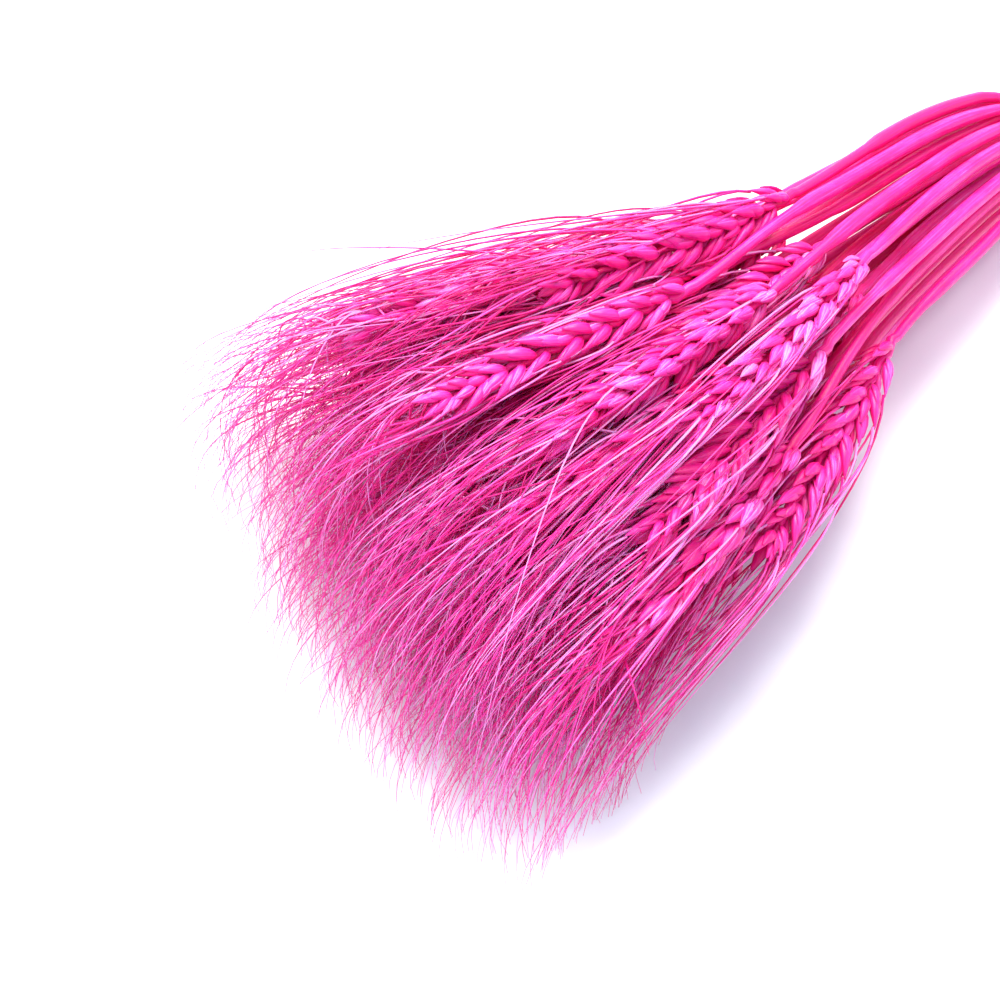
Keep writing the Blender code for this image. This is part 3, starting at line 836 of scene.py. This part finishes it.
def tip_distance(neck, share, curl, dice):
    """How far from the tie an awn ends that starts at the neck and runs at this share of the fan's half width."""
    edge = RIM - (RIM_SLANT * share if share > 0 else RIM_ROUNDING * share**2)
    edge += FAR_REACH * (1 - curl) * limited((share - FAR_CORNER[0]) / FAR_CORNER[1], 0.0, 1.0)
    if dice.random() < LONG_AWNS:
        edge += dice.uniform(*LONGER_BY) * MM
    far = (share + 1) / 2
    depth = RIM_DEPTH[0] + (RIM_DEPTH[1] - RIM_DEPTH[0]) * far**2
    grown_to = neck + AWN_LENGTH + dice.uniform(-1, 1) * AWN_SCATTER
    return min(grown_to, edge - dice.random() ** SHORTER_IS_RARER * depth)


print("rim in mm from the tie:", round(RIM / MM), "and at the far side:", round((RIM - RIM_SLANT) / MM))

# %% Lay the awns of an ear
HIGHEST_AWN = 62 * MM
LOWEST_AWN = 0.5 * MM
EDGE_X, EDGE_Y = -232 * MM, 84 * MM
TOWARDS_NEAR_SIDE = Vector((-0.65, -0.76, 0))
CURL_BIAS = 1.25
CURL_RANGE = (0.55, 0.45)  # the most that an awn curls on the near side, and how much more on the far side
LEAST_FALL = 0.03
MOST_FALL = (0.6, 0.34)  # in the middle, and how much less at the far side
CURL_FALL = 0.5
FULL_FALL = 0.97
HOOK = (6, 32)  # mm, with no curl, and how much more with a full curl
FLOW_STEP = 20 * MM
# places of the inner handles, as shares of the awn's reach or of its fall
AHEAD_SHARES = (0.16, 0.28)
BEFORE_SHARES = (0.05, 0.2)
CURL_PUSHES_ON = 0.3
ARCH = 0.15
FALLS_BACK = 0.3
ROOT_DEPTH = 0.6
AWN_RADIUS = 0.45 * MM
AWN_THICKNESS = (0.8, 1.15)
AWN_TINTS = (-0.22, 0.18)
PALE_AWNS = 0.36
PALER_BY = 0.55


def kept_inside(point):
    """Keeps a handle over the surface and within the sheaf's box."""
    y, z = limited(point.y, -EDGE_Y, EDGE_Y), limited(point.z, LOWEST_AWN, HIGHEST_AWN)
    return Vector((max(point.x, EDGE_X), y, z))


def awn_handles(stalk, bract, locks, dice):
    """The four handles of one awn."""
    neck = TIE_PLACE.x - bract.tip.x
    place = awn_place(stalk, locks, dice)
    share = place[0] / HALF_ACROSS
    curl = dice.random() ** CURL_BIAS * (CURL_RANGE[0] + CURL_RANGE[1] * (share + 1) / 2)
    tip_s = tip_distance(neck, share, curl, dice)
    reach = tip_s - neck
    end = in_fan(place, tip_s)
    flow = (end - in_fan(place, tip_s - FLOW_STEP)).normalized()
    sag = dice.uniform(LEAST_FALL, MOST_FALL[0] - MOST_FALL[1] * max(share, 0.0))
    fall = end.z * min(sag + CURL_FALL * curl, FULL_FALL)
    hook = (HOOK[0] + curl * HOOK[1]) * MM
    past_end = CURL_PUSHES_ON * curl - dice.uniform(*BEFORE_SHARES)
    before = end + flow * reach * past_end + Vector((0, 0, fall * ARCH))
    tip = end - flow * fall * FALLS_BACK * (1 + curl) + TOWARDS_NEAR_SIDE * hook - Vector((0, 0, fall))
    ahead = bract.tip + bract.along * reach * dice.uniform(*AHEAD_SHARES)
    root = bract.tip - bract.along * ROOT_DEPTH * MM
    return root, kept_inside(ahead), kept_inside(before), kept_inside(tip)


def awn_tint(tint, dice):
    return tint + dice.uniform(*AWN_TINTS) + (PALER_BY if dice.random() < PALE_AWNS else 0)


def awn_mesh(stalk, bracts, tint, dice):
    locks = lock_places(stalk, dice)
    rows = [awn_handles(stalk, bract, locks, dice) for bract in bracts]
    handles = {label: [tuple(row[k]) for row in rows] for k, label in enumerate(HANDLES)}
    return points_mesh(
        "awn roots", handles["root"], **handles,
        thick=[AWN_RADIUS * dice.uniform(*AWN_THICKNESS) for _ in rows], tint=[awn_tint(tint, dice) for _ in rows])


print("longest awn in mm:", round((AWN_LENGTH + AWN_SCATTER) / MM))

# %% [markdown]
# ## One piece for each stalk
#
# The three results are joined into one mesh for each stalk, because a stalk is one thing. What a bottom ear
# presses on the surface is flattened to it, as dry chaff is under a sheaf's weight. The new piece rides with the
# body that its solid belongs to and stands for that solid.

# %% Join meshes into a piece
ATTRIBUTES = ("round", "along", "tint")
SURFACE_GAP = 0.1 * MM


def joined(name, meshes):
    """One object out of several meshes, at the origin, with only the values that the finishes read."""
    objects = []
    for mesh in meshes:
        obj = bpy.data.objects.new(name, mesh)
        bpy.context.scene.collection.objects.link(obj)
        objects.append(obj)
    keep = objects[0]
    with bpy.context.temp_override(active_object=keep, object=keep, selected_editable_objects=objects,
                                   selected_objects=objects):
        bpy.ops.object.join()
    for label in [a.name for a in keep.data.attributes]:
        attribute = keep.data.attributes.get(label)
        if label not in ATTRIBUTES and not attribute.is_internal and not attribute.is_required:
            keep.data.attributes.remove(attribute)
    return keep


def lay_on_surface(mesh):
    """Flattens what would go through the surface."""
    for vert in mesh.vertices:
        vert.co.z = max(vert.co.z, SURFACE_GAP)


print("values kept for the finishes:", ATTRIBUTES)

# %% Grow the stalks
# how pale the dye is: the middle row's ears, and by chance from stalk to stalk; on top of that the top row is
# painted paler and the bottom row darker, as painted light from above
TINT, TOP_ROW_PAINTED_LIGHT, STALK_TINTS = 0.36, 0.05, (-0.15, 0.15)
STRAW_TINT, STRAW_TINTS = -0.08, (-0.2, 0.2)
CHAFF_TINT = 0.05
FIRST_SEED = 1000
HIDDEN_FLORETS = 26  # spikelets have more awned florets than show, so some lemmas bear two awns


def grow_stalk(number, stalk):
    dice = random.Random(FIRST_SEED + number)
    # the top rows' tint is painted paler and the bottom rows' darker, as painted light from above
    tint = TINT + TOP_ROW_PAINTED_LIGHT * stalk.row / RINGS + dice.uniform(*STALK_TINTS)
    points, thick = straw_path(stalk, dice)
    straw_tint = tint + STRAW_TINT + dice.uniform(*STRAW_TINTS)
    straw = chained("straw path", points, thick=thick, tint=[straw_tint] * len(points))
    straw = baked("straw", straw, straw_recipe, Material=straw_finish)
    bore_out(straw)
    bracts = ear_bracts(stalk, dice)
    chaff = chaff_mesh(bracts, tint + CHAFF_TINT)
    chaff = baked("chaff", chaff, chaff_recipe, Lemma=lemma_shape, Glume=glume_shape, Material=chaff_finish)
    fertile = [bract for bract in bracts if bract.fertile]
    fertile += dice.sample(fertile, HIDDEN_FLORETS)
    awns = baked("awns", awn_mesh(stalk, fertile, tint, dice), awn_recipe, Material=awn_finish)
    piece = joined(f"wheat_{number:02d}", [straw, chaff, awns])
    lay_on_surface(piece.data)
    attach(piece, "root")
    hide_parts(f"stalk_{number:02d}")
    return piece


pieces = [grow_stalk(number, stalk) for number, stalk in enumerate(stalks, 1)]
for shape in (lemma_shape, glume_shape):
    bpy.data.objects.remove(shape)


def triangles(obj):
    return sum(len(face.vertices) - 2 for face in obj.data.polygons)


print("stalks grown:", len(pieces), "triangles:", sum(triangles(piece) for piece in pieces))

# %% [markdown]
# ## The tie
#
# The straws are bound with jute twine: three plies twisted together, wound five times side by side over an inner
# layer, and knotted, with two short ends. A three-lobed ring swept along the winding looks like twisted plies when
# it turns as it goes, which is what the curve's tilt does.

# %% The twine finish
JUTE_DARK = (0.20, 0.115, 0.05, 1)
JUTE_PALE = (0.62, 0.46, 0.28, 1)


def jute():
    finish = Finish("jute twine")
    fibre = finish.grain(7.0, 900.0, Detail=4.0, Roughness=0.7)
    blotch = finish.blotches(220.0, Detail=3.0)
    shade = finish.math("MULTIPLY_ADD", fibre, 0.7, finish.math("MULTIPLY", blotch, 0.35))
    color = finish.ramp(shade, (0.25, JUTE_DARK), (0.8, JUTE_PALE))
    finish.set(Base_Color=color, Roughness=0.88, Normal=finish.bump(fibre, 0.9, 0.12 * MM))
    finish.set(Sheen_Weight=0.3, Sheen_Roughness=0.5)
    return finish.material


jute_finish = jute()
print("twine finish:", jute_finish.name)

# %% The twine recipe
PLIES = 3
LAY_LENGTH = 6.5 * MM
twine_recipe = Recipe("twine", Sides=("Int", 12), Lobe=("Float", 0.22), Lay=("Float", LAY_LENGTH),
                      Material=("Material", None))
given = twine_recipe.given
path = twine_recipe.add("GeometryNodeMeshToCurve", given["Geometry"])
length = twine_recipe.spline_length()
path = twine_recipe.store(path, "along", length)
turns = twine_recipe.math("MULTIPLY", twine_recipe.math("DIVIDE", length, given["Lay"]), 2 * math.pi)
path = twine_recipe.add("GeometryNodeSetCurveTilt", path, None, turns)
ring = twine_recipe.add("GeometryNodeCurvePrimitiveCircle", given["Sides"], None, None, None, 1.0)
spot = twine_recipe.add("GeometryNodeInputPosition")
angle = twine_recipe.math("MULTIPLY", twine_recipe.add("GeometryNodeSplineParameter"), PLIES * 2 * math.pi)
lobe = twine_recipe.math("MULTIPLY", twine_recipe.math("COSINE", angle), given["Lobe"])
lobed = twine_recipe.scaled(spot, twine_recipe.math("SUBTRACT", 1.0, lobe))
ring = twine_recipe.store(ring, "round", spot, "FLOAT_VECTOR")
ring = twine_recipe.add("GeometryNodeSetPosition", ring, None, lobed)
twine = twine_recipe.add("GeometryNodeCurveToMesh", path, ring, twine_recipe.named("thick"), True)
twine_recipe.finish(twine, given["Material"])
print("nodes in the twine recipe:", len(twine_recipe.tree.nodes))

# %% The paths of the twine
TWINE_RADIUS = 1.0 * MM
WINDING_RADIUS = 11.75 * MM
INNER_LAYER = 1.35 * MM
WOBBLE = 0.15 * MM
TWINE_TURNS = 5
POINTS_PER_TURN = 40
PRESSED = 0.92
CLOSE_TURNS = 0.94
KNOT_TURN = math.radians(62)
tie_low, tie_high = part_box("tie")
centre = (in_fan(Vector((0, -HALF_UP)), 0) + in_fan(Vector((0, HALF_UP)), 0)) / 2
print("tie centre in mm:", [round(v / MM, 2) for v in centre])
print("its solid's box in mm:", [round(v / MM, 1) for v in tie_low], [round(v / MM, 1) for v in tie_high])


def round_tie(turn, radius, x):
    """A point of the winding. It is pressed on the surface where it would go through."""
    point = centre + Vector((x, math.cos(turn) * radius, math.sin(turn) * radius))
    point.z = max(point.z, TWINE_RADIUS * PRESSED)
    return point


def winding(radius, wobble):
    points = []
    for i in range(TWINE_TURNS * POINTS_PER_TURN + 1):
        turns_made = i / POINTS_PER_TURN
        x = (turns_made - TWINE_TURNS / 2) * 2 * TWINE_RADIUS * CLOSE_TURNS
        lift = wobble * math.sin(turns_made * 5.1) * math.sin(turns_made * 2 * math.pi)
        points.append(round_tie(KNOT_TURN + turns_made * 2 * math.pi, radius + lift, x))
    return points


def loop_of_knot(at, radius, tilt, squeeze):
    """One round of the knot, nearly closed on itself."""
    points = []
    for i in range(22):
        turn = 2 * math.pi * i / 20
        flat = Vector((math.cos(turn) * radius, math.sin(turn) * radius * squeeze, 0))
        points.append(at + Matrix.Rotation(tilt[1], 3, "Y") @ Matrix.Rotation(tilt[0], 3, "X") @ flat)
    return points


def twine_end(at, bearing, droop, length):
    return [at + bearing * length * t + droop * t * t for t in (i / 12 for i in range(13))]


# %% Wind and knot the twine
# each round of the knot: radius in mm, its two tilts, and how much it is squeezed
KNOT_ROUNDS = ((1.7, (0.5, 0.2), 0.8), (1.5, (1.5, 0.9), 0.9), (1.6, (-0.7, 1.1), 0.7))
KNOT_RADIUS = 0.85 * MM
# each end: the side that it points to, and its length in mm
ENDS = ((1, 17), (-1, 15))


def twine_mesh(name, points, radius=TWINE_RADIUS):
    mesh = chained(name, points, thick=[radius] * len(points), tint=[0.5] * len(points))
    return baked(name, mesh, twine_recipe, Material=jute_finish)


outward = Vector((0, math.cos(KNOT_TURN), math.sin(KNOT_TURN)))
onward = Vector((0, -math.sin(KNOT_TURN), math.cos(KNOT_TURN)))
knot_at = centre + outward * (WINDING_RADIUS + 1.9 * TWINE_RADIUS)
droop = onward * -4 * MM - outward * 2 * MM
twines = [twine_mesh("outer winding", winding(WINDING_RADIUS, WOBBLE)),
          twine_mesh("inner winding", winding(WINDING_RADIUS - INNER_LAYER, 0))]
for radius, tilt, squeeze in KNOT_ROUNDS:
    twines.append(twine_mesh("knot round", loop_of_knot(knot_at, radius * MM, tilt, squeeze), KNOT_RADIUS))
for side, length in ENDS:
    bearing = (onward * -0.5 + Vector((side, 0, 0)) * 0.8 + outward * 0.45).normalized()
    end = twine_end(knot_at, bearing, droop, length * MM)
    twines.append(twine_mesh("twine end", end, 0.95 * TWINE_RADIUS))
twine_piece = joined("twine_tie", twines)
lay_on_surface(twine_piece.data)
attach(twine_piece, "root")
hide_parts("tie")
print("twine triangles:", triangles(twine_piece))

# %% [markdown]
# ## The surface, the light and the camera
#
# The sheaf lies on a white surface in soft daylight from above its far side. The surface is nearly blown out, so
# only the shade beside the sheaf has a colour, a pale lavender, which comes from a faintly violet sky filling the
# shadow of a slightly warm main light.

# %% The surface
SURFACE_REACH = 3.0
SURFACE_WHITES = ((0.3, (0.88, 0.88, 0.885, 1)), (0.7, (0.92, 0.92, 0.925, 1)))
surface_mesh = bpy.data.meshes.new("white surface")
corners = [(x * SURFACE_REACH, y * SURFACE_REACH, 0) for x, y in ((-1, -1), (1, -1), (1, 1), (-1, 1))]
surface_mesh.from_pydata(corners, [], [(0, 1, 2, 3)])
surface = bpy.data.objects.new("white_surface", surface_mesh)
bpy.context.scene.collection.objects.link(surface)
white = Finish("white surface")
speck = white.blotches(40.0, Detail=2.0)
white.set(Base_Color=white.ramp(speck, *SURFACE_WHITES), Roughness=0.7, Specular_IOR_Level=0.2)
surface_mesh.materials.append(white.material)
print("surface in metres:", SURFACE_REACH * 2, "square")

# %% The light
SKY_COLOR = (0.70, 0.82, 1.0, 1)
SKY_STRENGTH = 1.25
FAN_MIDDLE = Vector((-0.15, 0, 0))
world = bpy.context.scene.world or bpy.data.worlds.new("soft sky")
bpy.context.scene.world = world
world.use_nodes = True
sky = next(node for node in world.node_tree.nodes if node.type == "BACKGROUND")
sky.inputs["Color"].default_value = SKY_COLOR
sky.inputs["Strength"].default_value = SKY_STRENGTH


def area_light(name, place, power, color, size=1.0):
    """A square soft light that is aimed at the middle of the fan."""
    light = bpy.data.lights.new(name, "AREA")
    light.size = size
    light.energy = power
    light.color = color
    lamp = bpy.data.objects.new(name, light)
    lamp.location = place
    lamp.rotation_euler = (FAN_MIDDLE - Vector(place)).to_track_quat("-Z", "Y").to_euler()
    bpy.context.scene.collection.objects.link(lamp)
    return lamp


window = area_light("window", (0.45, 0.6, 1.5), 46, (1.0, 0.96, 0.92))
bounce = area_light("bounce", (-1.1, 0.7, 0.8), 9, (0.97, 0.93, 1.0))
print("lights in watts:", window.data.energy, bounce.data.energy)

# %% [markdown]
# The camera looks down at about sixty degrees, turned so that the straws leave the picture at the upper right, as
# in the photograph. It stands sixty centimetres off, which gives the mild perspective of a hand-held close shot.

# %% The camera
TURN = math.radians(40.6)
ELEVATION = math.radians(61)
DISTANCE = 0.60
FOCAL_PIXELS = 2415
PICTURE_WIDTH = 1000
SENSOR = 36
TARGET = Vector((-160.0, -6.7, 20)) * MM
right = Vector((math.cos(TURN), -math.sin(TURN), 0))
away = Vector((math.sin(TURN), math.cos(TURN), 0))
forward = away * math.cos(ELEVATION) - Vector((0, 0, math.sin(ELEVATION)))
camera_data = bpy.data.cameras.new("camera")
camera_data.sensor_width = SENSOR
camera_data.lens = FOCAL_PIXELS * SENSOR / PICTURE_WIDTH
camera = bpy.data.objects.new("camera", camera_data)
axes = Matrix((right, right.cross(forward), -forward)).transposed()
camera.matrix_world = Matrix.Translation(TARGET - forward * DISTANCE) @ axes.to_4x4()
bpy.context.scene.collection.objects.link(camera)
bpy.context.scene.camera = camera
bpy.context.scene.view_settings.view_transform = "Standard"
print("camera in mm:", [round(v / MM) for v in camera.location])
